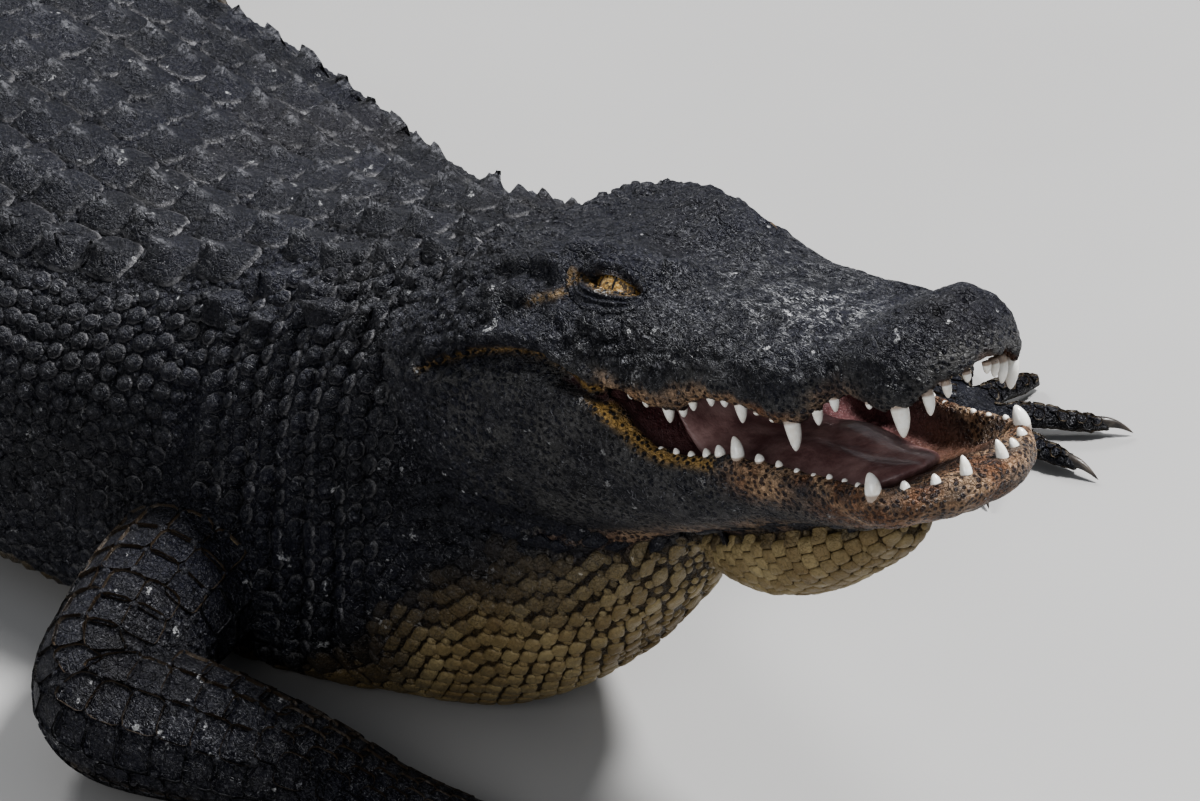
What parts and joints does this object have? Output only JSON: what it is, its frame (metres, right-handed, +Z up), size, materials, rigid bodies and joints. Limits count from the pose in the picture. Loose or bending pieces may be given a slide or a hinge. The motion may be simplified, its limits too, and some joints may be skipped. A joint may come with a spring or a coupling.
{
  "type": "american alligator",
  "caption": "Life-size still model of an adult alligator lying on its belly, head raised and jaws a little open, with sprawled clawed legs and a tapering crested tail.",
  "frame": {"origin": "on the floor, under the middle of the whole animal's box", "axes": "+X forwards along the body, +Y to the animal's left, +Z up"},
  "size_m": [3.4216, 1.3998, 0.5793],
  "materials": {
    "hide": "scaly, dull with a slight sheen",
    "jaw": "scaly, dark above and cream below",
    "tongue": "moist",
    "eye": "wet gloss",
    "claw": "horn",
    "tooth": "enamel"
  },
  "bodies": {
    "root": {"head": "hide", "lower_jaw": "jaw", "tongue": "tongue", "eye_right": "eye", "eye_left": "eye", "neck": "hide", "trunk_front": "hide", "trunk_rear": "hide", "tail_1": "hide", "tail_2": "hide", "tail_3": "hide", "tail_4": "hide", "tail_5": "hide", "front_right_upper": "hide", "front_right_lower": "hide", "front_right_foot": "hide", "front_left_upper": "hide", "front_left_lower": "hide", "front_left_foot": "hide", "hind_right_upper": "hide", "hind_right_lower": "hide", "hind_right_foot": "hide", "hind_left_upper": "hide", "hind_left_lower": "hide", "hind_left_foot": "hide", "claw_front_right_1": "claw", "claw_front_right_2": "claw", "claw_front_right_3": "claw", "claw_front_left_1": "claw", "claw_front_left_2": "claw", "claw_front_left_3": "claw", "claw_hind_right_1": "claw", "claw_hind_right_2": "claw", "claw_hind_right_3": "claw", "claw_hind_left_1": "claw", "claw_hind_left_2": "claw", "claw_hind_left_3": "claw"}
  },
  "joints": []
}
